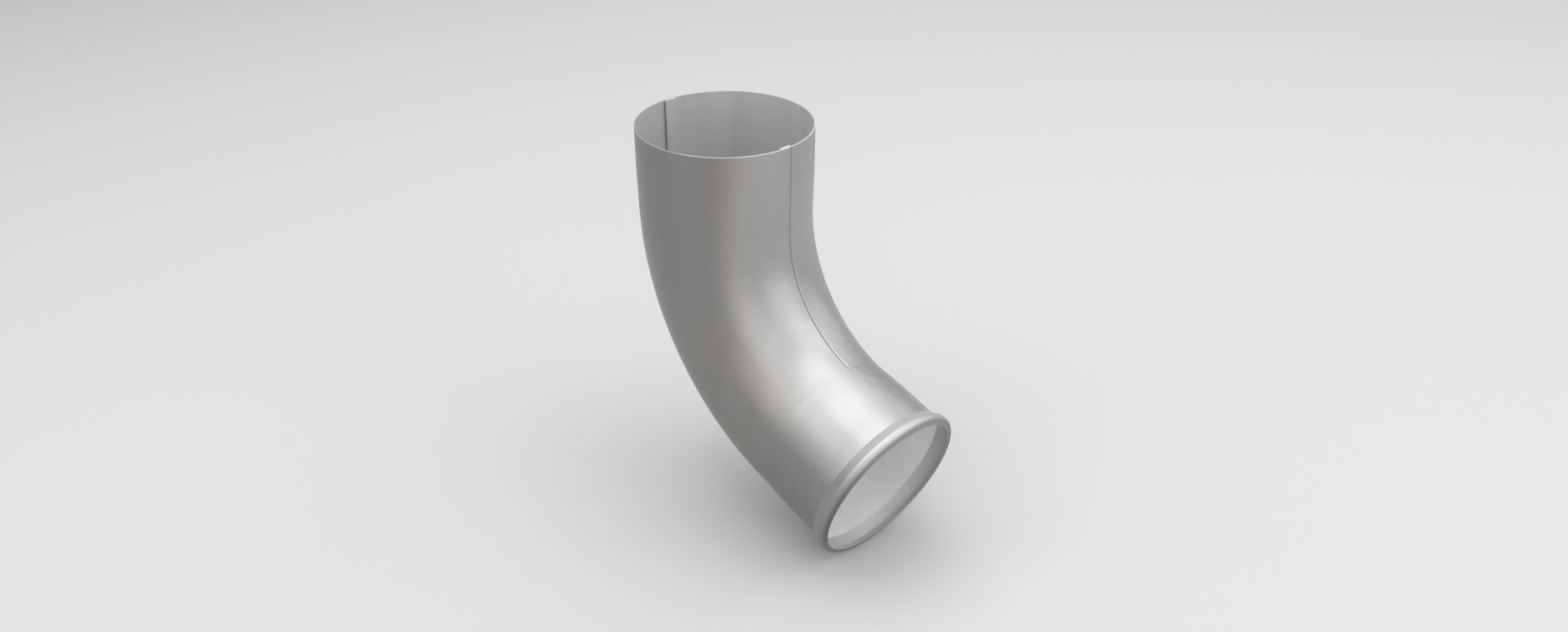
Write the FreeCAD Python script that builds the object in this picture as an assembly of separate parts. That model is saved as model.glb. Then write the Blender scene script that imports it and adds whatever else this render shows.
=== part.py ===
"""Rainwater outlet bend (downspout shoe) of thin galvanised sheet.

Two pressed half shells meet along the throat and the heel of the bend in internal lock seams.
The mouth at the top takes a round downpipe, the shells taper through the bend, and the outlet
leg is expanded to size and ends in a hollow rolled bead.

Frame: millimetres, +Z up. The origin is the centre of the mouth, in the plane of its rim. The
bend lies in the XZ plane and throws the water towards +X.
"""
import FreeCAD, Part
import math
import os
from FreeCAD import Placement, Rotation, Vector

# Driving dimensions
SHEET = 0.6                 # sheet thickness
PIPE_RADIUS = 50.0          # outside radius of the downpipe that the mouth takes
PIPE_CLEARANCE = 0.2        # room round the pipe, on the radius
SOCKET_DEPTH = 25.0         # cylindrical band below the rim
UPPER_LEG = 48.0            # from the rim to the start of the bend, measured on the axis
BEND_RADIUS = 120.0         # radius of the axis through the bend
BEND_ANGLE = 73.0           # degrees turned by the bend
BEND_TAPER = 3.9            # loss of outside radius from the socket to the end of the bend
LEG_EXPANSION = 0.8         # gain of radius where the outlet leg is expanded to size
FLARE_LENGTH = 30.0         # length over which the leg widens
OUTLET_LEG = 44.0           # from the end of the bend to the bead
BEAD_HEIGHT = 3.1           # how far the bead stands out from the outlet leg
BEAD_ROLL_RADIUS = 3.8      # outside radius of the rolled part of the bead
BEAD_FLANK_ANGLE = 28.0     # degrees between the leg and the straight flank of the bead
BEAD_TURN = 98.0            # degrees from the bead's crown round to its free edge
SEAM_HALF_WIDTH = 3.6       # lock seam, from the bend plane to the outside of either fold
FOLD_RADIUS = 0.7           # outside corner radius of a fold inside the bore
GROOVE_RADIUS = 1.0         # outside corner radius on each side of the groove seen outside
LAYER_GAP = 0.05            # play between the layers of the two shells
FOLD_END_GAP = 0.3          # room between a folded edge and the fold that holds it
BEND_STATIONS = 9           # equal steps of the bend between its cross-sections

# Sizes worked out from them
MOUTH_RADIUS = PIPE_RADIUS + PIPE_CLEARANCE + SHEET
BEND_END_RADIUS = MOUTH_RADIUS - BEND_TAPER
LEG_RADIUS = BEND_END_RADIUS + LEG_EXPANSION
BEAD_RADIUS = LEG_RADIUS + BEAD_HEIGHT
BEND_LENGTH = BEND_RADIUS * math.radians(BEND_ANGLE)
TAPER_LENGTH = UPPER_LEG + BEND_LENGTH - SOCKET_DEPTH
LAYER_PITCH = SHEET + LAYER_GAP
FOLD_DEPTH = 3 * SHEET + 2 * LAYER_GAP
HALF_TURN = math.pi
EIGHTH_TURN = math.pi / 4


def section_point(radius, across, depth, heel):
    """Point of a cross-section: `across` from the bend plane along the wall, `depth` inwards."""
    angle = across / radius
    if heel:
        angle = HALF_TURN - angle
    reach = radius - depth
    return Vector(reach * math.cos(angle), reach * math.sin(angle), 0)


class Outline:
    """Closed outline of a cross-section, drawn edge by edge."""

    def __init__(self, radius):
        self.radius = radius
        self.heel = False
        self.across = 0.0
        self.depth = 0.0
        self.edges = []

    def point(self, across, depth):
        return section_point(self.radius, across, depth, self.heel)

    def here(self):
        return self.point(self.across, self.depth)

    def start(self, across, depth):
        self.across = across
        self.depth = depth

    def line_to(self, across, depth):
        """Straight edge, as at a cut edge or down the back of a fold."""
        self.edges.append(Part.makeLine(self.here(), self.point(across, depth)))
        self.start(across, depth)

    def layer_to(self, across):
        """Edge at one depth, concentric with the wall."""
        middle = self.point((self.across + across) / 2, self.depth)
        arc = Part.Arc(self.here(), middle, self.point(across, self.depth))
        self.edges.append(arc.toShape())
        self.start(across, self.depth)

    def corner_to(self, across, depth, centre_across, centre_depth):
        """Quarter round about a centre."""
        reach = abs(across - centre_across) + abs(depth - centre_depth)
        towards_across = (self.across - centre_across) + (across - centre_across)
        towards_depth = (self.depth - centre_depth) + (depth - centre_depth)
        diagonal = reach * math.cos(EIGHTH_TURN)
        middle = self.point(
            centre_across + math.copysign(diagonal, towards_across),
            centre_depth + math.copysign(diagonal, towards_depth),
        )
        arc = Part.Arc(self.here(), middle, self.point(across, depth))
        self.edges.append(arc.toShape())
        self.start(across, depth)

    def sweep_round(self, side):
        """Long arc at this depth to the same place on the opposite seam, by way of one side."""
        begin = self.here()
        middle = Vector(0, side * (self.radius - self.depth), 0)
        self.heel = not self.heel
        self.edges.append(Part.Arc(begin, middle, self.here()).toShape())

    def wire(self):
        return Part.Wire(self.edges)


def draw_hook(outline, outwards):
    """Edge fold of the hooked shell, from the outer face round to the inner face or back."""
    tip = SEAM_HALF_WIDTH
    bend = tip - FOLD_RADIUS
    brow = tip - GROOVE_RADIUS
    inner = tip - SHEET
    free = -SEAM_HALF_WIDTH + SHEET + FOLD_END_GAP
    low = FOLD_DEPTH
    low_centre = low - FOLD_RADIUS
    if outwards:
        outline.corner_to(inner, GROOVE_RADIUS, brow, GROOVE_RADIUS)
        outline.line_to(inner, low_centre)
        outline.corner_to(bend, low - SHEET, bend, low_centre)
        outline.layer_to(free)
        outline.line_to(free, low)
        outline.layer_to(bend)
        outline.corner_to(tip, low_centre, bend, low_centre)
        outline.line_to(tip, GROOVE_RADIUS)
        outline.corner_to(brow, 0.0, brow, GROOVE_RADIUS)
    else:
        outline.corner_to(tip, GROOVE_RADIUS, brow, GROOVE_RADIUS)
        outline.line_to(tip, low_centre)
        outline.corner_to(bend, low, bend, low_centre)
        outline.layer_to(free)
        outline.line_to(free, low - SHEET)
        outline.layer_to(bend)
        outline.corner_to(inner, low_centre, bend, low_centre)
        outline.line_to(inner, GROOVE_RADIUS)
        outline.corner_to(brow, SHEET, brow, GROOVE_RADIUS)


def hooked_section(radius):
    """Cross-section of the shell on the -Y side, whose edges fold inwards and back."""
    outline = Outline(radius)
    outline.start(SEAM_HALF_WIDTH - GROOVE_RADIUS, 0.0)
    draw_hook(outline, outwards=False)
    outline.sweep_round(-1)
    draw_hook(outline, outwards=True)
    outline.sweep_round(-1)
    return outline.wire()


def draw_joggle(outline, outwards):
    """Edge of the joggled shell: a step down under the hook, then a fold up into it."""
    tip = -SEAM_HALF_WIDTH
    bend = tip + FOLD_RADIUS
    inner = tip + SHEET
    free = SEAM_HALF_WIDTH - SHEET - FOLD_END_GAP
    top = LAYER_PITCH
    bottom = top + FOLD_DEPTH
    step = SEAM_HALF_WIDTH + LAYER_GAP
    wrap = SEAM_HALF_WIDTH - FOLD_RADIUS
    wrap_depth = FOLD_DEPTH - FOLD_RADIUS
    shoulder = step + GROOVE_RADIUS
    if outwards:
        outline.corner_to(step + SHEET, GROOVE_RADIUS, shoulder, GROOVE_RADIUS)
        outline.line_to(step + SHEET, wrap_depth)
        outline.corner_to(wrap, bottom, wrap, wrap_depth)
        outline.layer_to(bend)
        outline.corner_to(tip, bottom - FOLD_RADIUS, bend, bottom - FOLD_RADIUS)
        outline.line_to(tip, top + FOLD_RADIUS)
        outline.corner_to(bend, top, bend, top + FOLD_RADIUS)
        outline.layer_to(free)
        outline.line_to(free, top + SHEET)
        outline.layer_to(bend)
        outline.corner_to(inner, top + FOLD_RADIUS, bend, top + FOLD_RADIUS)
        outline.line_to(inner, bottom - FOLD_RADIUS)
        outline.corner_to(bend, bottom - SHEET, bend, bottom - FOLD_RADIUS)
        outline.layer_to(wrap)
        outline.corner_to(step, wrap_depth, wrap, wrap_depth)
        outline.line_to(step, GROOVE_RADIUS)
        outline.corner_to(shoulder, 0.0, shoulder, GROOVE_RADIUS)
    else:
        outline.corner_to(step, GROOVE_RADIUS, shoulder, GROOVE_RADIUS)
        outline.line_to(step, wrap_depth)
        outline.corner_to(wrap, bottom - SHEET, wrap, wrap_depth)
        outline.layer_to(bend)
        outline.corner_to(inner, bottom - FOLD_RADIUS, bend, bottom - FOLD_RADIUS)
        outline.line_to(inner, top + FOLD_RADIUS)
        outline.corner_to(bend, top + SHEET, bend, top + FOLD_RADIUS)
        outline.layer_to(free)
        outline.line_to(free, top)
        outline.layer_to(bend)
        outline.corner_to(tip, top + FOLD_RADIUS, bend, top + FOLD_RADIUS)
        outline.line_to(tip, bottom - FOLD_RADIUS)
        outline.corner_to(bend, bottom, bend, bottom - FOLD_RADIUS)
        outline.layer_to(wrap)
        outline.corner_to(step + SHEET, wrap_depth, wrap, wrap_depth)
        outline.line_to(step + SHEET, GROOVE_RADIUS)
        outline.corner_to(shoulder, SHEET, shoulder, GROOVE_RADIUS)


def joggled_section(radius):
    """Cross-section of the shell on the +Y side, whose edges step inwards and fold up."""
    outline = Outline(radius)
    outline.start(SEAM_HALF_WIDTH + LAYER_GAP + GROOVE_RADIUS, 0.0)
    draw_joggle(outline, outwards=False)
    outline.sweep_round(1)
    draw_joggle(outline, outwards=True)
    outline.sweep_round(1)
    return outline.wire()


def station(distance):
    """Place on the axis: origin on the axis, local X to the throat, local Z back to the mouth."""
    if distance <= UPPER_LEG:
        return Placement(Vector(0, 0, -distance), Rotation())
    turn = (distance - UPPER_LEG) / BEND_RADIUS
    centre = Vector(
        BEND_RADIUS * (1 - math.cos(turn)),
        0,
        -UPPER_LEG - BEND_RADIUS * math.sin(turn),
    )
    return Placement(centre, Rotation(Vector(0, 1, 0), -math.degrees(turn)))


def outside_radius(distance):
    """Outside radius of the shells, which narrow steadily below the socket band."""
    beyond = max(0.0, distance - SOCKET_DEPTH)
    return MOUTH_RADIUS - BEND_TAPER * beyond / TAPER_LENGTH


def placed_section(section, distance):
    wire = section(outside_radius(distance))
    wire.Placement = station(distance)
    return wire


def seamed_shell(section):
    """Socket band, tapering straight and bend of one shell, as three solids end to end."""
    mouth = placed_section(section, 0.0)
    band = Part.Face(mouth).extrude(Vector(0, 0, -SOCKET_DEPTH))
    band_end = placed_section(section, SOCKET_DEPTH)
    bend_start = placed_section(section, UPPER_LEG)
    straight = Part.makeLoft([band_end, bend_start], True, True)
    step = BEND_LENGTH / BEND_STATIONS
    stops = [placed_section(section, UPPER_LEG + step * i) for i in range(BEND_STATIONS + 1)]
    bend = Part.makeLoft(stops, True, False)
    return [band, straight, bend]


def meridian_point(radius, distance):
    """Point of the outlet's profile: `distance` along the leg from the end of the bend."""
    return Vector(radius, 0, -distance)


def widening(start_radius, gain, length):
    """Arc that takes the radius up by `gain` and ends parallel to the axis."""
    bend = (length * length + gain * gain) / (2 * gain)
    half_swing = math.asin(length / bend) / 2
    rise = gain - bend * (1 - math.cos(half_swing))
    run = length - bend * math.sin(half_swing)
    begin = meridian_point(start_radius, 0)
    middle = meridian_point(start_radius + rise, run)
    end = meridian_point(start_radius + gain, length)
    return Part.Arc(begin, middle, end).toShape()


def outlet_side(offset):
    """One face of the outlet's sheet, `offset` inside the outer face, from bend to free edge."""
    flank = math.radians(BEAD_FLANK_ANGLE)
    turn = math.radians(BEAD_TURN)
    roll = BEAD_ROLL_RADIUS - offset
    centre_radius = BEAD_RADIUS - BEAD_ROLL_RADIUS
    crease_to_roll = centre_radius - LEG_RADIUS + BEAD_ROLL_RADIUS * math.cos(flank)
    flank_length = crease_to_roll / math.sin(flank)
    crown = OUTLET_LEG + flank_length * math.cos(flank) + BEAD_ROLL_RADIUS * math.sin(flank)

    def on_roll(angle):
        return meridian_point(
            centre_radius + roll * math.cos(angle),
            crown + roll * math.sin(angle),
        )

    leg_radius = LEG_RADIUS - offset
    crease = meridian_point(leg_radius, OUTLET_LEG + offset * math.tan(flank / 2))
    edges = [widening(BEND_END_RADIUS - offset, LEG_EXPANSION, FLARE_LENGTH)]
    edges.append(Part.makeLine(meridian_point(leg_radius, FLARE_LENGTH), crease))
    edges.append(Part.makeLine(crease, on_roll(-flank)))
    edges.append(Part.Arc(on_roll(-flank), on_roll((turn - flank) / 2), on_roll(turn)).toShape())
    return edges, on_roll(turn)


def outlet_shell(start_angle, span):
    """Outlet leg and bead of one shell, between two lines along the leg (degrees)."""
    outer, outer_end = outlet_side(0.0)
    inner, inner_end = outlet_side(SHEET)
    start = Part.makeLine(
        meridian_point(BEND_END_RADIUS - SHEET, 0),
        meridian_point(BEND_END_RADIUS, 0),
    )
    free_edge = Part.makeLine(outer_end, inner_end)
    ring = Part.Wire(Part.__sortEdges__([start] + outer + [free_edge] + inner))
    face = Part.Face(ring)
    axis = Vector(0, 0, 1)
    face.rotate(Vector(), axis, start_angle)
    solid = face.revolve(Vector(), axis, span)
    solid.Placement = station(UPPER_LEG + BEND_LENGTH)
    return solid


def joined(solids):
    """One solid from solids that share whole end faces."""
    shape = solids[0].fuse(solids[1:]).removeSplitter()
    return shape.Solids[0]


def hooked_half_shell(butt_angle):
    outlet = outlet_shell(-180 - butt_angle, 180 + 2 * butt_angle)
    return joined(seamed_shell(hooked_section) + [outlet])


def joggled_half_shell(butt_angle):
    outlet = outlet_shell(butt_angle, 180 - 2 * butt_angle)
    return joined(seamed_shell(joggled_section) + [outlet])


def main():
    os.makedirs("parts", exist_ok=True)
    butt_angle = math.degrees((SEAM_HALF_WIDTH + LAYER_GAP / 2) / BEND_END_RADIUS)
    shells = {
        "hooked_half_shell": hooked_half_shell(butt_angle),
        "joggled_half_shell": joggled_half_shell(butt_angle),
    }
    for name, shape in shells.items():
        print(name, shape.isValid(), len(shape.Faces), round(shape.Volume, 1))
        shape.exportStep("parts/" + name + ".step")


if __name__ == "__main__":
    main()
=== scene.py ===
import math

import bmesh
import bpy
from bpy.props import FloatProperty, FloatVectorProperty, PointerProperty
from bpy.types import Operator, Panel, PropertyGroup
from mathutils import Euler, Matrix, Vector


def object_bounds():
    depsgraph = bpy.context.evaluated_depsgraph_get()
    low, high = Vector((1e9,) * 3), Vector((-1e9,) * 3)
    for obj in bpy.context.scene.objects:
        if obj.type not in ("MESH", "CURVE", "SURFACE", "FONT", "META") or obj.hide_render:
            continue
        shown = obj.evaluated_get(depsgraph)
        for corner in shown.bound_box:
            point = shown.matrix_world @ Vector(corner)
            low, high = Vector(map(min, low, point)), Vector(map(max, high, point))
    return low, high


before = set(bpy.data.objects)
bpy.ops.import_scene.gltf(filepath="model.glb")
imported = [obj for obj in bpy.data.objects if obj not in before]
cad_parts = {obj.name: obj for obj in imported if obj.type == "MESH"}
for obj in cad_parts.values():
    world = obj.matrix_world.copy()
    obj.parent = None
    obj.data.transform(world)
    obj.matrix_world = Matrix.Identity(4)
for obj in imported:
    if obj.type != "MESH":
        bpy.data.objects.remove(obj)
CAD_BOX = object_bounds()

bl_info = {
    "name": "Downspout Shoe Finish",
    "version": (1, 0, 0),
    "blender": (4, 5, 0),
    "location": "3D View > Sidebar > Downspout",
    "description": "Galvanised finish, studio and camera for a sheet-metal downspout shoe",
    "category": "Object",
}

# Sizes of the part that the finish follows, in metres. The axis of the bend is an arc about
# BEND_CENTRE, and the outlet leg leaves it at LEG_START.
BEND_RADIUS = 0.120
BEND_ANGLE = math.radians(73.0)
BEND_CENTRE = Vector((BEND_RADIUS, 0.0, -0.048))
LEG_DIRECTION = Vector((math.sin(BEND_ANGLE), 0.0, -math.cos(BEND_ANGLE)))
LEG_START = BEND_CENTRE + BEND_RADIUS * Vector(
    (-math.cos(BEND_ANGLE), 0.0, -math.sin(BEND_ANGLE))
)
OUTLET_LEG = 0.044
SHEET = 0.0006

# Each pair below gives the two ends of a smooth step. A pair of tones, amounts or roughness goes
# with the pair of levels of the same finish.

# How far a face looks away from the axis, in metres along its normal, where inside turns to
# outside
INSIDE_TO_OUTSIDE = (-0.012, 0.006)

# Heights where the mouth's bright cut edge begins, and distances along the leg where the bead does
RIM_HEIGHTS = (-1.2 * SHEET, -0.4 * SHEET)
BEAD_START = (OUTLET_LEG - SHEET, OUTLET_LEG + SHEET)

# Distances from the bend plane where the zinc's brown film and the painted shade on its sides
# come and go, how far these move outwards for each metre below the mouth, and the tone of
# the painted side shade
FILM_RISE = (0.013, 0.031)
FILM_FALL = (0.035, 0.051)
SIDE_SHADE_RISE = (0.017, 0.043)
BAND_SLOPE = 0.06
SIDE_SHADE_TONE = 0.65

# Distances along the outlet leg where the film fades, and the share of it that is left beyond
FILM_FADE = (-0.030, 0.010)
FADED_FILM = 0.4

# Distances along the outlet leg where the inside begins to be rinsed clean
RINSED_START = (-0.050, 0.005)

# How much the bead's faces look along the leg where the painted highlight on its flank ends and
# where the painted shade on its front begins, and the tones of the two
FLANK_HIGHLIGHT_END = (-0.45, 0.20)
FRONT_SHADE_START = (0.40, 0.95)
FLANK_HIGHLIGHT_TONE = 1.12
FRONT_SHADE_TONE = 0.60

# Middle of the shallow dents beside the throat's seam, on its +Y side, and how far from it they
# fade
DENTED_PATCH = (0.110, 0.026, -0.118)
DENTED_REACH = (0.016, 0.034)

# Middle of the patch of specks, on the outlet leg's -Y side, and how far from it they fade
PITTED_PATCH = (0.112, -0.043, -0.152)
PITTED_REACH = (0.004, 0.020)

# Scale of the distances from both middles, which makes the patches twice as long in X as across
PATCH_SCALE = (0.5, 1.0, 1.0)

# Rolling streaks: their width in metres, the scale that draws them out in height, and their tones
STREAK_SIZE = 0.018
STREAK_SCALE = (1.0, 1.0, 0.12)
STREAK_DETAIL = 3.0
STREAK_LEVELS = (0.30, 0.70)
STREAK_TONES = (0.955, 1.02)

# Handling marks: their width in metres, their tones, what they add to the roughness, and how
# they break up the film
MARK_SIZE = 0.070
MARK_DETAIL = 3.0
MARK_LEVELS = (0.30, 0.72)
MARK_TONES = (0.975, 1.015)
MARK_ROUGHNESS_LEVELS = (0.25, 0.75)
MARK_ROUGHNESS = (-0.02, 0.03)
FILM_PATCH_LEVELS = (0.25, 0.60)
FILM_PATCH_AMOUNTS = (0.35, 1.0)

# Spangle: tones of the crystals, and what they add to the roughness
CRYSTAL_TONES = (0.98, 1.012)
CRYSTAL_ROUGHNESS = (-0.02, 0.02)

# Specks: levels of the noise where one begins, and its tone
SPECK_DETAIL = 1.0
SPECK_LEVELS = (0.56, 0.68)
SPECK_TONE = 0.85

# Roughness that the rim loses and the bead gains
RIM_POLISH = 0.08
BEAD_RUB = 0.10

# Bumps: detail of the dents, and the fine grain's width and depth in metres, detail and strength
DENT_DETAIL = 1.5
GRAIN_SIZE = 0.0007
GRAIN_DETAIL = 4.0
GRAIN_STRENGTH = 0.35
GRAIN_DEPTH = 0.00001

# Numbers of a Mix node's factor, A, B and result sockets, because it repeats their names
MIX_SOCKETS = {"RGBA": (0, 6, 7, 2), "VECTOR": (0, 4, 5, 1)}

# Softboxes of the studio: name, azimuth and elevation in degrees, side and distance in metres,
# and brightness, where 1 is white. All of them look at LAMP_AIM.
SOFTBOXES = (
    ("overhead", 0.0, 90.0, 1.20, 1.80, 1.65),
    ("high_front", 47.4, 58.0, 1.35, 1.80, 0.40),
    ("high_right", 137.4, 58.0, 1.35, 1.80, 1.15),
    ("high_back", 227.4, 58.0, 1.35, 1.80, 1.20),
    ("high_left", 317.4, 58.0, 1.35, 1.80, 1.35),
    ("low_front", 47.4, 28.0, 1.50, 1.80, 0.75),
    ("low_right", 107.4, 28.0, 1.50, 1.80, 1.05),
    ("low_back_right", 167.4, 28.0, 1.50, 1.80, 0.80),
    ("low_back", 227.4, 28.0, 1.50, 1.80, 0.20),
    ("low_left", 347.4, 28.0, 1.50, 1.80, 0.80),
)
LAMP_AIM = Vector((0.05, 0.0, -0.11))

# Straight edges that the round floor's outline is made of
FLOOR_SEGMENTS = 128

# The photograph's frame in pixels, where the line of sight crosses it, and the width of the
# camera's sensor in millimetres
FRAME_WIDTH = 1872
FRAME_HEIGHT = 754
SIGHT_COLUMN = 918.0
SIGHT_ROW = 390.0
SENSOR_WIDTH = 36.0


class ShoeFinish(PropertyGroup):
    outside_colour: FloatVectorProperty(
        name="Outside",
        description="Colour of the zinc on the outside of the shells",
        subtype="COLOR",
        size=3,
        min=0.0,
        max=1.0,
        default=(0.426, 0.423, 0.422),
    )
    warm_colour: FloatVectorProperty(
        name="Warm film",
        description="Colour of the bands outside where the zinc's oxide film is a little brown",
        subtype="COLOR",
        size=3,
        min=0.0,
        max=1.0,
        default=(0.450, 0.427, 0.402),
    )
    inside_colour: FloatVectorProperty(
        name="Inside",
        description="Colour of the zinc inside the mouth and the bend",
        subtype="COLOR",
        size=3,
        min=0.0,
        max=1.0,
        default=(0.58, 0.58, 0.58),
    )
    outlet_colour: FloatVectorProperty(
        name="Inside outlet",
        description="Colour of the zinc inside the outlet leg, which water has rinsed clean",
        subtype="COLOR",
        size=3,
        min=0.0,
        max=1.0,
        default=(0.92, 0.92, 0.92),
    )
    # The bead is brighter than the outside, partly from rolling and partly as painted highlight
    bead_colour_and_highlight: FloatVectorProperty(
        name="Bead",
        description="Colour of the bead, a little brighter from rolling and as painted highlight",
        subtype="COLOR",
        size=3,
        min=0.0,
        max=1.0,
        default=(0.49, 0.49, 0.49),
    )
    rim_colour: FloatVectorProperty(
        name="Rim",
        description="Colour of the mouth's cut edge, which is bare bright steel",
        subtype="COLOR",
        size=3,
        min=0.0,
        max=1.0,
        default=(0.68, 0.68, 0.68),
    )
    roughness: FloatProperty(
        name="Roughness",
        description="Mean roughness of the satin surface",
        subtype="FACTOR",
        min=0.0,
        max=1.0,
        default=0.40,
    )
    inside_metallic: FloatProperty(
        name="Metallic inside",
        description="Share of bare metal inside, where the rest is covered by a chalky film",
        subtype="FACTOR",
        min=0.0,
        max=1.0,
        default=0.35,
    )
    spangle_size: FloatProperty(
        name="Spangle size",
        description="Mean width of the zinc's crystals",
        subtype="DISTANCE",
        unit="LENGTH",
        min=0.0002,
        max=0.02,
        default=0.0011,
    )
    pit_size: FloatProperty(
        name="Pit size",
        description="Mean width of the specks in the zinc low on the side of the outlet leg",
        subtype="DISTANCE",
        unit="LENGTH",
        min=0.0002,
        max=0.02,
        default=0.0008,
    )
    ripple_size: FloatProperty(
        name="Ripple size",
        description="Width of the shallow dents that pressing leaves beside the throat's seam",
        subtype="DISTANCE",
        unit="LENGTH",
        min=0.002,
        max=0.1,
        default=0.006,
    )
    ripple_depth: FloatProperty(
        name="Ripple depth",
        description="Depth of the shallow dents beside the throat's seam",
        subtype="DISTANCE",
        unit="LENGTH",
        min=0.0,
        max=0.002,
        default=0.0004,
    )


class ShoeStudio(PropertyGroup):
    floor_colour: FloatVectorProperty(
        name="Floor",
        description="Colour of the floor",
        subtype="COLOR",
        size=3,
        min=0.0,
        max=1.0,
        default=(0.54, 0.54, 0.54),
    )
    floor_radius: FloatProperty(
        name="Floor radius",
        description="Radius of the round floor",
        subtype="DISTANCE",
        unit="LENGTH",
        min=1.0,
        max=100.0,
        default=2.1,
    )
    room_colour: FloatVectorProperty(
        name="Room",
        description="Colour of the room round the studio",
        subtype="COLOR",
        size=3,
        min=0.0,
        max=1.0,
        default=(0.50, 0.50, 0.50),
    )
    lamp_level: FloatProperty(
        name="Lamp level",
        description="Brightness of all the softboxes together",
        subtype="FACTOR",
        min=0.0,
        max=4.0,
        default=1.0,
    )


class ShoeView(PropertyGroup):
    azimuth: FloatProperty(
        name="Azimuth",
        description="Direction of the camera round the part, from straight along +Y",
        subtype="ANGLE",
        unit="ROTATION",
        default=math.radians(47.377),
    )
    elevation: FloatProperty(
        name="Elevation",
        description="Height of the camera above the horizon",
        subtype="ANGLE",
        unit="ROTATION",
        default=math.radians(30.549),
    )
    roll: FloatProperty(
        name="Roll",
        description="Turn of the camera about its line of sight",
        subtype="ANGLE",
        unit="ROTATION",
        default=math.radians(0.087),
    )
    aim: FloatVectorProperty(
        name="Aim",
        description="Point that the line of sight passes through",
        subtype="XYZ",
        unit="LENGTH",
        size=3,
        default=(0.02366, 0.01205, -0.12743),
    )
    distance: FloatProperty(
        name="Distance",
        description="From the aim to the camera",
        subtype="DISTANCE",
        unit="LENGTH",
        min=0.1,
        default=0.75906,
    )
    lens: FloatProperty(
        name="Lens",
        description="Focal length for a sensor 36 mm wide",
        subtype="DISTANCE_CAMERA",
        unit="CAMERA",
        min=1.0,
        default=28.785,
    )


class NodeBoard:
    """A material's node tree, with short calls that add and wire its nodes."""

    COLUMN_WIDTH = 200.0
    ROW_HEIGHT = 180.0

    def __init__(self, tree):
        self.tree = tree
        self.rows = {}

    def add(self, kind, column, label="", **settings):
        node = self.tree.nodes.new(kind)
        row = self.rows.get(column, 0)
        self.rows[column] = row + 1
        node.location = (column * self.COLUMN_WIDTH, -row * self.ROW_HEIGHT)
        node.label = label
        for name, value in settings.items():
            setattr(node, name, value)
        return node

    def feed(self, node, name, source):
        """Gives an input a number, a colour, a vector or another node's output."""
        socket = node.inputs[name]
        if isinstance(source, bpy.types.NodeSocket):
            self.tree.links.new(source, socket)
        else:
            socket.default_value = source

    def maths(self, column, operation, a, b=0.0, label="", clamp=False):
        node = self.add("ShaderNodeMath", column, label, operation=operation, use_clamp=clamp)
        self.feed(node, 0, a)
        self.feed(node, 1, b)
        return node.outputs["Value"]

    def vector(self, column, operation, a, b=(0.0, 0.0, 0.0), label=""):
        node = self.add("ShaderNodeVectorMath", column, label, operation=operation)
        self.feed(node, 0, a)
        self.feed(node, 1, b)
        result = "Value" if operation == "DOT_PRODUCT" else "Vector"
        return node.outputs[result]

    def scaled(self, column, vector, scale, label=""):
        node = self.add("ShaderNodeVectorMath", column, label, operation="SCALE")
        self.feed(node, 0, vector)
        self.feed(node, "Scale", scale)
        return node.outputs["Vector"]

    def ramp(self, column, value, low, high, to_low=0.0, to_high=1.0, label=""):
        """Smooth step of a value between two levels."""
        node = self.add(
            "ShaderNodeMapRange", column, label, interpolation_type="SMOOTHSTEP"
        )
        self.feed(node, "Value", value)
        self.feed(node, "From Min", low)
        self.feed(node, "From Max", high)
        self.feed(node, "To Min", to_low)
        self.feed(node, "To Max", to_high)
        return node.outputs["Result"]

    def noise(self, column, coordinates, size, detail, label=""):
        """Noise of about the given size in metres."""
        node = self.add("ShaderNodeTexNoise", column, label)
        self.feed(node, "Vector", coordinates)
        self.feed(node, "Scale", 1.0 / size)
        self.feed(node, "Detail", detail)
        return node.outputs["Fac"]

    def mix(self, kind, column, factor, a, b, label="", **settings):
        """Mix of two colours or of two vectors."""
        node = self.add("ShaderNodeMix", column, label, data_type=kind, **settings)
        factor_socket, a_socket, b_socket, result_socket = MIX_SOCKETS[kind]
        self.feed(node, factor_socket, factor)
        self.feed(node, a_socket, a)
        self.feed(node, b_socket, b)
        return node.outputs[result_socket]

    def bump(self, column, height, distance, strength, normal, label=""):
        node = self.add("ShaderNodeBump", column, label)
        self.feed(node, "Strength", strength)
        self.feed(node, "Distance", distance)
        self.feed(node, "Height", height)
        self.feed(node, "Normal", normal)
        return node.outputs["Normal"]


def with_alpha(colour):
    return (colour[0], colour[1], colour[2], 1.0)


def inside_mask(board, position, normal):
    """1 on faces that look towards the axis of the bend, 0 on those that look away.

    The arc of the bend stands in for the axes of both legs too, because they are short.
    """
    centre = tuple(BEND_CENTRE)
    offset = board.vector(1, "SUBTRACT", position, centre, "from bend centre")
    flat = board.vector(2, "MULTIPLY", offset, (1.0, 0.0, 1.0), "in bend plane")
    ray = board.vector(3, "NORMALIZE", flat, label="towards wall")
    arc = board.scaled(4, ray, BEND_RADIUS, "axis of bend")
    spoke = board.vector(5, "SUBTRACT", offset, arc, "from axis")
    facing = board.vector(6, "DOT_PRODUCT", spoke, normal, "outward")
    return board.ramp(7, facing, *INSIDE_TO_OUTSIDE, 1.0, 0.0, "inside")


def leg_coordinates(board, position):
    """Distance along the outlet leg from the end of the bend, and direction from its axis."""
    offset = board.vector(1, "SUBTRACT", position, tuple(LEG_START), "from leg")
    along = board.vector(2, "DOT_PRODUCT", offset, tuple(LEG_DIRECTION), "along leg")
    foot = board.scaled(3, tuple(LEG_DIRECTION), along, "foot on axis")
    spoke = board.vector(4, "SUBTRACT", offset, foot, "from leg's axis")
    outward = board.vector(5, "NORMALIZE", spoke, label="outward")
    return along, outward


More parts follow.
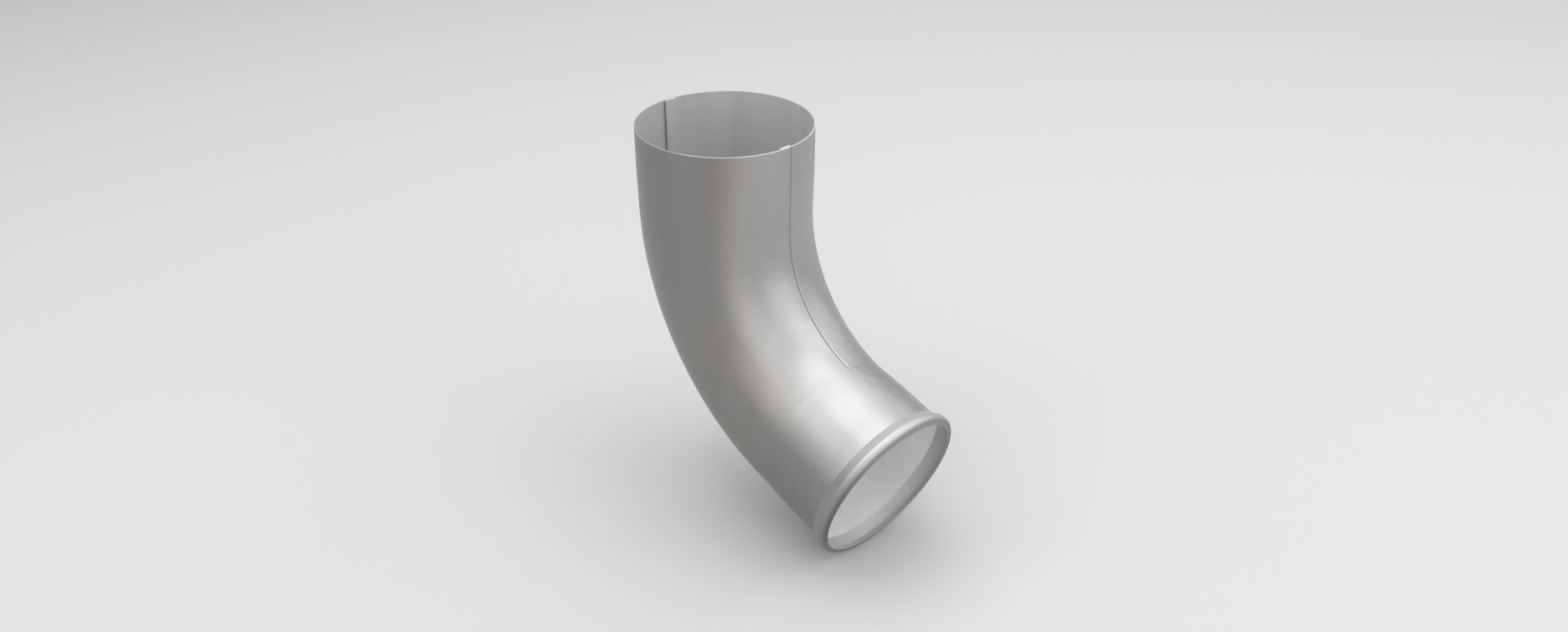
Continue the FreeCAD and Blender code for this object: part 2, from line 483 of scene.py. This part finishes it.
def trued_normal(board, normal, along, outward):
    """Normal of the outlet, turned exactly square to the leg's turning.

    The two shells' meshes meet edge to edge there, and their smoothed normals differ by a degree
    or two along the joint.
    """
    axis = tuple(LEG_DIRECTION)
    lengthwise = board.vector(6, "DOT_PRODUCT", normal, axis, "lengthwise part")
    side = board.vector(6, "DOT_PRODUCT", normal, outward, "outward part")
    side = board.maths(7, "SIGN", side, label="outer or inner face")
    square = board.maths(7, "MULTIPLY", lengthwise, lengthwise, "square")
    rest = board.maths(8, "SUBTRACT", 1.0, square, "rest", clamp=True)
    reach = board.maths(9, "SQRT", rest, label="radial length")
    reach = board.maths(10, "MULTIPLY", reach, side, "signed length")
    radial = board.scaled(11, outward, reach, "radial part")
    length = board.scaled(11, axis, lengthwise, "lengthwise vector")
    exact = board.vector(12, "ADD", radial, length, "exact normal")
    on_outlet = board.maths(6, "GREATER_THAN", along, 0.0, "on outlet")
    return board.mix("VECTOR", 13, on_outlet, normal, exact, "normal")


def edge_masks(board, height, along, outside):
    """1 on the rim of the mouth, outside and on its cut edge, and 1 on the bead."""
    rim = board.ramp(2, height, *RIM_HEIGHTS, label="rim")
    rim = board.maths(4, "MULTIPLY", rim, outside, "rim outside")
    bead = board.ramp(3, along, *BEAD_START, label="bead")
    return rim, bead


def side_bands(board, across, height, outside):
    """Brown film, and painted shade outside, in side bands that widen towards the mouth."""
    reach = board.maths(2, "ABSOLUTE", across, label="from bend plane")
    shift = board.maths(2, "MULTIPLY", height, BAND_SLOPE, "wider upwards")
    reach = board.maths(2, "ADD", reach, shift, "from bend plane")
    rise = board.ramp(3, reach, *FILM_RISE, label="film rises")
    fall = board.ramp(3, reach, *FILM_FALL, 1.0, 0.0, "film falls")
    film = board.maths(4, "MULTIPLY", rise, fall, "film")
    # Painted shade: the outside is darkened on the sides, away from the bend plane
    side_shade = board.ramp(3, reach, *SIDE_SHADE_RISE, label="painted side shade")
    side_shade = board.maths(4, "MULTIPLY", side_shade, outside, "painted side shade outside")
    return film, side_shade


def patch_mask(board, position, centre, reach, label):
    """1 in a patch round a point, longer in X than across, and 0 beyond its reach."""
    offset = board.vector(1, "SUBTRACT", position, centre, label)
    stretched = board.vector(2, "MULTIPLY", offset, PATCH_SCALE, "along the leg")
    gap = board.add("ShaderNodeVectorMath", 3, "to patch", operation="LENGTH")
    board.feed(gap, 0, stretched)
    return board.ramp(4, gap.outputs["Value"], *reach, 1.0, 0.0, label)


def streak_noise(board, position):
    """Noise drawn out along the sheet."""
    along_sheet = board.add("ShaderNodeMapping", 1, "along the sheet")
    board.feed(along_sheet, "Vector", position)
    board.feed(along_sheet, "Scale", STREAK_SCALE)
    stretched = along_sheet.outputs["Vector"]
    return board.noise(2, stretched, STREAK_SIZE, STREAK_DETAIL, "rolling streaks")


def crystal_levels(board, position, size):
    """A random level for each crystal of the zinc."""
    spangle = board.add("ShaderNodeTexVoronoi", 2, "spangle")
    board.feed(spangle, "Vector", position)
    board.feed(spangle, "Scale", 1.0 / size)
    crystal = board.add("ShaderNodeSeparateColor", 3, "crystal level")
    board.feed(crystal, "Color", spangle.outputs["Color"])
    return crystal.outputs["Red"]


def outside_zinc(board, finish, film, marks, along):
    """Grey zinc with a patchy brown film, which fades on the outlet leg."""
    patchy = board.ramp(3, marks, *FILM_PATCH_LEVELS, *FILM_PATCH_AMOUNTS, "patchy film")
    faded = board.ramp(3, along, *FILM_FADE, 1.0, FADED_FILM, "film fades")
    amount = board.maths(5, "MULTIPLY", film, patchy, "film amount")
    amount = board.maths(5, "MULTIPLY", amount, faded, "film amount")
    bare = with_alpha(finish.outside_colour)
    return board.mix("RGBA", 6, amount, bare, with_alpha(finish.warm_colour), "warm film")


def inside_zinc(board, finish, along):
    """Chalky zinc, rinsed cleaner in the outlet leg."""
    rinsed = board.ramp(3, along, *RINSED_START, label="rinsed")
    chalky = with_alpha(finish.inside_colour)
    return board.mix("RGBA", 6, rinsed, chalky, with_alpha(finish.outlet_colour), "inside")


def bead_highlight_and_shade(board, normal, bead):
    """Painted highlight on the bead's flank, and painted shade towards its cut edge."""
    forward = board.vector(2, "DOT_PRODUCT", normal, tuple(LEG_DIRECTION), "faces forward")
    flank_highlight = board.ramp(3, forward, *FLANK_HIGHLIGHT_END, FLANK_HIGHLIGHT_TONE, 1.0, "flank highlight")
    front_shade = board.ramp(3, forward, *FRONT_SHADE_START, 1.0, FRONT_SHADE_TONE, "front shade")
    painted_bead_light = board.maths(4, "MULTIPLY", flank_highlight, front_shade, "bead highlight and shade")
    change = board.maths(5, "SUBTRACT", painted_bead_light, 1.0, "change of tone")
    change = board.maths(6, "MULTIPLY", change, bead, "on the bead alone")
    return board.maths(7, "ADD", change, 1.0, "bead painted light")


def speck_tone(board, position, pit_size, pitted):
    """Tone of the dark specks, in their patch alone."""
    specks = board.noise(2, position, pit_size, SPECK_DETAIL, "specks")
    speck = board.ramp(3, specks, *SPECK_LEVELS, label="speck")
    speck = board.maths(5, "MULTIPLY", speck, pitted, "specks in patch")
    return board.ramp(6, speck, 0.0, 1.0, 1.0, SPECK_TONE, "speck tone")


def zinc_roughness(board, base, marks, crystals, rim, bead):
    """Satin roughness: uneven with the marks and crystals, less on the rim, more on the bead."""
    least, most = (base + change for change in MARK_ROUGHNESS)
    roughness = board.ramp(3, marks, *MARK_ROUGHNESS_LEVELS, least, most, "marks")
    spangle = board.ramp(4, crystals, 0.0, 1.0, *CRYSTAL_ROUGHNESS, "spangle roughness")
    roughness = board.maths(5, "ADD", roughness, spangle, "roughness")
    polish = board.maths(5, "MULTIPLY", rim, RIM_POLISH, "polish")
    roughness = board.maths(6, "SUBTRACT", roughness, polish, "roughness")
    rubbed = board.maths(5, "MULTIPLY", bead, BEAD_RUB, "rubbed bead")
    return board.maths(7, "ADD", roughness, rubbed, "roughness")


def zinc_bumps(board, finish, position, dented, normal):
    """Shallow dents beside the throat's seam, and a fine grain all over."""
    ripples = board.noise(2, position, finish.ripple_size, DENT_DETAIL, "ripples")
    dents = board.maths(5, "MULTIPLY", ripples, dented, "ripples beside seam")
    dents = board.bump(9, dents, finish.ripple_depth, 1.0, normal, "dents")
    grain = board.noise(2, position, GRAIN_SIZE, GRAIN_DETAIL, "grain")
    return board.bump(10, grain, GRAIN_DEPTH, GRAIN_STRENGTH, dents, "grain")


def galvanised_sheet(finish):
    """Satin zinc: film bands, fine spangle, specks, shallow dents, and rubbed edges."""
    # Its colour also carries painted shade on the sides, and painted highlight and shade on the
    # bead.
    material = bpy.data.materials.new("galvanised_sheet")
    material.use_nodes = True
    tree = material.node_tree
    tree.nodes.clear()
    board = NodeBoard(tree)

    place = board.add("ShaderNodeTexCoord", 0, "place")
    position = place.outputs["Object"]
    normal = place.outputs["Normal"]
    parts = board.add("ShaderNodeSeparateXYZ", 1, "place parts")
    board.feed(parts, "Vector", position)
    across = parts.outputs["Y"]
    height = parts.outputs["Z"]

    inside = inside_mask(board, position, normal)
    outside = board.maths(3, "SUBTRACT", 1.0, inside, "outside")
    along, outward = leg_coordinates(board, position)
    rim, bead = edge_masks(board, height, along, outside)
    film, side_shade = side_bands(board, across, height, outside)
    dented = patch_mask(board, position, DENTED_PATCH, DENTED_REACH, "dented")
    pitted = patch_mask(board, position, PITTED_PATCH, PITTED_REACH, "pitted")
    streaks = streak_noise(board, position)
    marks = board.noise(2, position, MARK_SIZE, MARK_DETAIL, "handling marks")
    crystals = crystal_levels(board, position, finish.spangle_size)

    zinc_outside = outside_zinc(board, finish, film, marks, along)
    zinc_inside = inside_zinc(board, finish, along)
    zinc = board.mix("RGBA", 8, inside, zinc_outside, zinc_inside, "outside or inside")
    # The bead's brighter colour is partly painted highlight
    zinc = board.mix("RGBA", 9, bead, zinc, with_alpha(finish.bead_colour_and_highlight), "bead")
    zinc = board.mix("RGBA", 10, rim, zinc, with_alpha(finish.rim_colour), "rim")

    shade = board.ramp(3, streaks, *STREAK_LEVELS, *STREAK_TONES, "streak tone")
    for tone in (
        board.ramp(3, marks, *MARK_LEVELS, *MARK_TONES, "mark tone"),
        board.ramp(4, crystals, 0.0, 1.0, *CRYSTAL_TONES, "crystal tone"),
        speck_tone(board, position, finish.pit_size, pitted),
        # Painted shade on the sides
        board.ramp(4, side_shade, 0.0, 1.0, 1.0, SIDE_SHADE_TONE, "painted side shade tone"),
        # Painted highlight on the bead's flank and painted shade on its front
        bead_highlight_and_shade(board, normal, bead),
    ):
        shade = board.maths(8, "MULTIPLY", shade, tone, "shade")
    colour = board.mix("RGBA", 11, 1.0, zinc, shade, "zinc colour", blend_type="MULTIPLY")

    metallic = board.ramp(7, inside, 0.0, 1.0, 1.0, finish.inside_metallic, "metallic")
    roughness = zinc_roughness(board, finish.roughness, marks, crystals, rim, bead)
    true_normal = trued_normal(board, normal, along, outward)
    bumped = zinc_bumps(board, finish, position, dented, true_normal)

    shader = board.add("ShaderNodeBsdfPrincipled", 12, "zinc")
    board.feed(shader, "Metallic", metallic)
    board.feed(shader, "Base Color", colour)
    board.feed(shader, "Roughness", roughness)
    board.feed(shader, "Normal", bumped)
    output = board.add("ShaderNodeOutputMaterial", 13, "surface")
    board.feed(output, "Surface", shader.outputs["BSDF"])
    return material


def plain_surface(name, colour):
    """Matt paint."""
    material = bpy.data.materials.new(name)
    material.use_nodes = True
    shader = material.node_tree.nodes["Principled BSDF"]
    shader.inputs["Base Color"].default_value = with_alpha(colour)
    shader.inputs["Roughness"].default_value = 1.0
    shader.inputs["Specular IOR Level"].default_value = 0.0
    return material


def lay_floor(studio):
    """Pale round floor at the height of the part's lowest edge."""
    mesh = bmesh.new()
    bmesh.ops.create_circle(
        mesh, cap_ends=True, segments=FLOOR_SEGMENTS, radius=studio.floor_radius
    )
    bmesh.ops.translate(mesh, verts=mesh.verts, vec=(LAMP_AIM.x, LAMP_AIM.y, CAD_BOX[0].z))
    data = bpy.data.meshes.new("floor")
    mesh.to_mesh(data)
    mesh.free()
    floor = bpy.data.objects.new("floor", data)
    bpy.context.scene.collection.objects.link(floor)
    data.materials.append(plain_surface("floor_paint", studio.floor_colour))


def hang_softbox(name, azimuth, elevation, side, distance, brightness):
    """Square lamp that looks at the part and isn't seen by the camera itself.

    An area lamp with a radiance of 1 gives off pi watts for each square metre.
    """
    lamp = bpy.data.lights.new(name, "AREA")
    lamp.shape = "SQUARE"
    lamp.size = side
    lamp.energy = math.pi * side * side * brightness
    softbox = bpy.data.objects.new(name, lamp)
    tilt = Euler((math.pi / 2 - math.radians(elevation), 0.0, math.radians(azimuth)))
    softbox.location = LAMP_AIM + tilt.to_matrix() @ Vector((0.0, 0.0, distance))
    softbox.rotation_euler = tilt
    softbox.visible_camera = False
    bpy.context.scene.collection.objects.link(softbox)


def light_room(studio):
    world = bpy.data.worlds.new("studio_room")
    world.use_nodes = True
    background = world.node_tree.nodes["Background"]
    background.inputs["Color"].default_value = with_alpha(studio.room_colour)
    bpy.context.scene.world = world
    for name, azimuth, elevation, side, distance, brightness in SOFTBOXES:
        level = brightness * studio.lamp_level
        hang_softbox("softbox_" + name, azimuth, elevation, side, distance, level)


def set_camera(view):
    data = bpy.data.cameras.new("camera")
    data.sensor_width = SENSOR_WIDTH
    data.lens = view.lens
    data.shift_x = (FRAME_WIDTH / 2 - SIGHT_COLUMN) / FRAME_WIDTH
    data.shift_y = (SIGHT_ROW - FRAME_HEIGHT / 2) / FRAME_WIDTH
    camera = bpy.data.objects.new("camera", data)
    tilt = Euler((math.pi / 2 - view.elevation, 0.0, view.azimuth)).to_matrix()
    turned = tilt @ Matrix.Rotation(view.roll, 3, "Z")
    back = tilt @ Vector((0.0, 0.0, 1.0))
    camera.rotation_euler = turned.to_euler()
    camera.location = Vector(view.aim) + back * view.distance
    scene = bpy.context.scene
    scene.collection.objects.link(camera)
    scene.camera = camera


class SHOE_OT_finish_shells(Operator):
    """Give both half shells their galvanised finish"""

    bl_idname = "downspout.finish_shells"
    bl_label = "Finish Half Shells"

    def execute(self, context):
        sheet = galvanised_sheet(context.scene.shoe_finish)
        for name in ("hooked_half_shell", "joggled_half_shell"):
            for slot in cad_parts[name].material_slots:
                slot.link = "OBJECT"
                slot.material = sheet
        return {"FINISHED"}


class SHOE_OT_set_stage(Operator):
    """Lay the floor, hang the softboxes and place the camera"""

    bl_idname = "downspout.set_stage"
    bl_label = "Set Stage"

    def execute(self, context):
        scene = context.scene
        lay_floor(scene.shoe_studio)
        light_room(scene.shoe_studio)
        set_camera(scene.shoe_view)
        scene.view_settings.view_transform = "Standard"
        return {"FINISHED"}


class SHOE_PT_downspout(Panel):
    bl_idname = "SHOE_PT_downspout"
    bl_label = "Downspout Shoe"
    bl_space_type = "VIEW_3D"
    bl_region_type = "UI"
    bl_category = "Downspout"

    def draw(self, context):
        scene = context.scene
        for title, group in (
            ("Finish", scene.shoe_finish),
            ("Studio", scene.shoe_studio),
            ("View", scene.shoe_view),
        ):
            box = self.layout.box()
            box.label(text=title)
            for name in group.bl_rna.properties.keys():
                if name not in {"name", "rna_type"}:
                    box.prop(group, name)
        self.layout.operator(SHOE_OT_finish_shells.bl_idname)
        self.layout.operator(SHOE_OT_set_stage.bl_idname)


CLASSES = (
    ShoeFinish,
    ShoeStudio,
    ShoeView,
    SHOE_OT_finish_shells,
    SHOE_OT_set_stage,
    SHOE_PT_downspout,
)


def register():
    for item in CLASSES:
        bpy.utils.register_class(item)
    bpy.types.Scene.shoe_finish = PointerProperty(type=ShoeFinish)
    bpy.types.Scene.shoe_studio = PointerProperty(type=ShoeStudio)
    bpy.types.Scene.shoe_view = PointerProperty(type=ShoeView)


def unregister():
    del bpy.types.Scene.shoe_view
    del bpy.types.Scene.shoe_studio
    del bpy.types.Scene.shoe_finish
    for item in reversed(CLASSES):
        bpy.utils.unregister_class(item)


def main():
    register()
    bpy.ops.downspout.finish_shells()
    bpy.ops.downspout.set_stage()


if __name__ == "__main__":
    main()
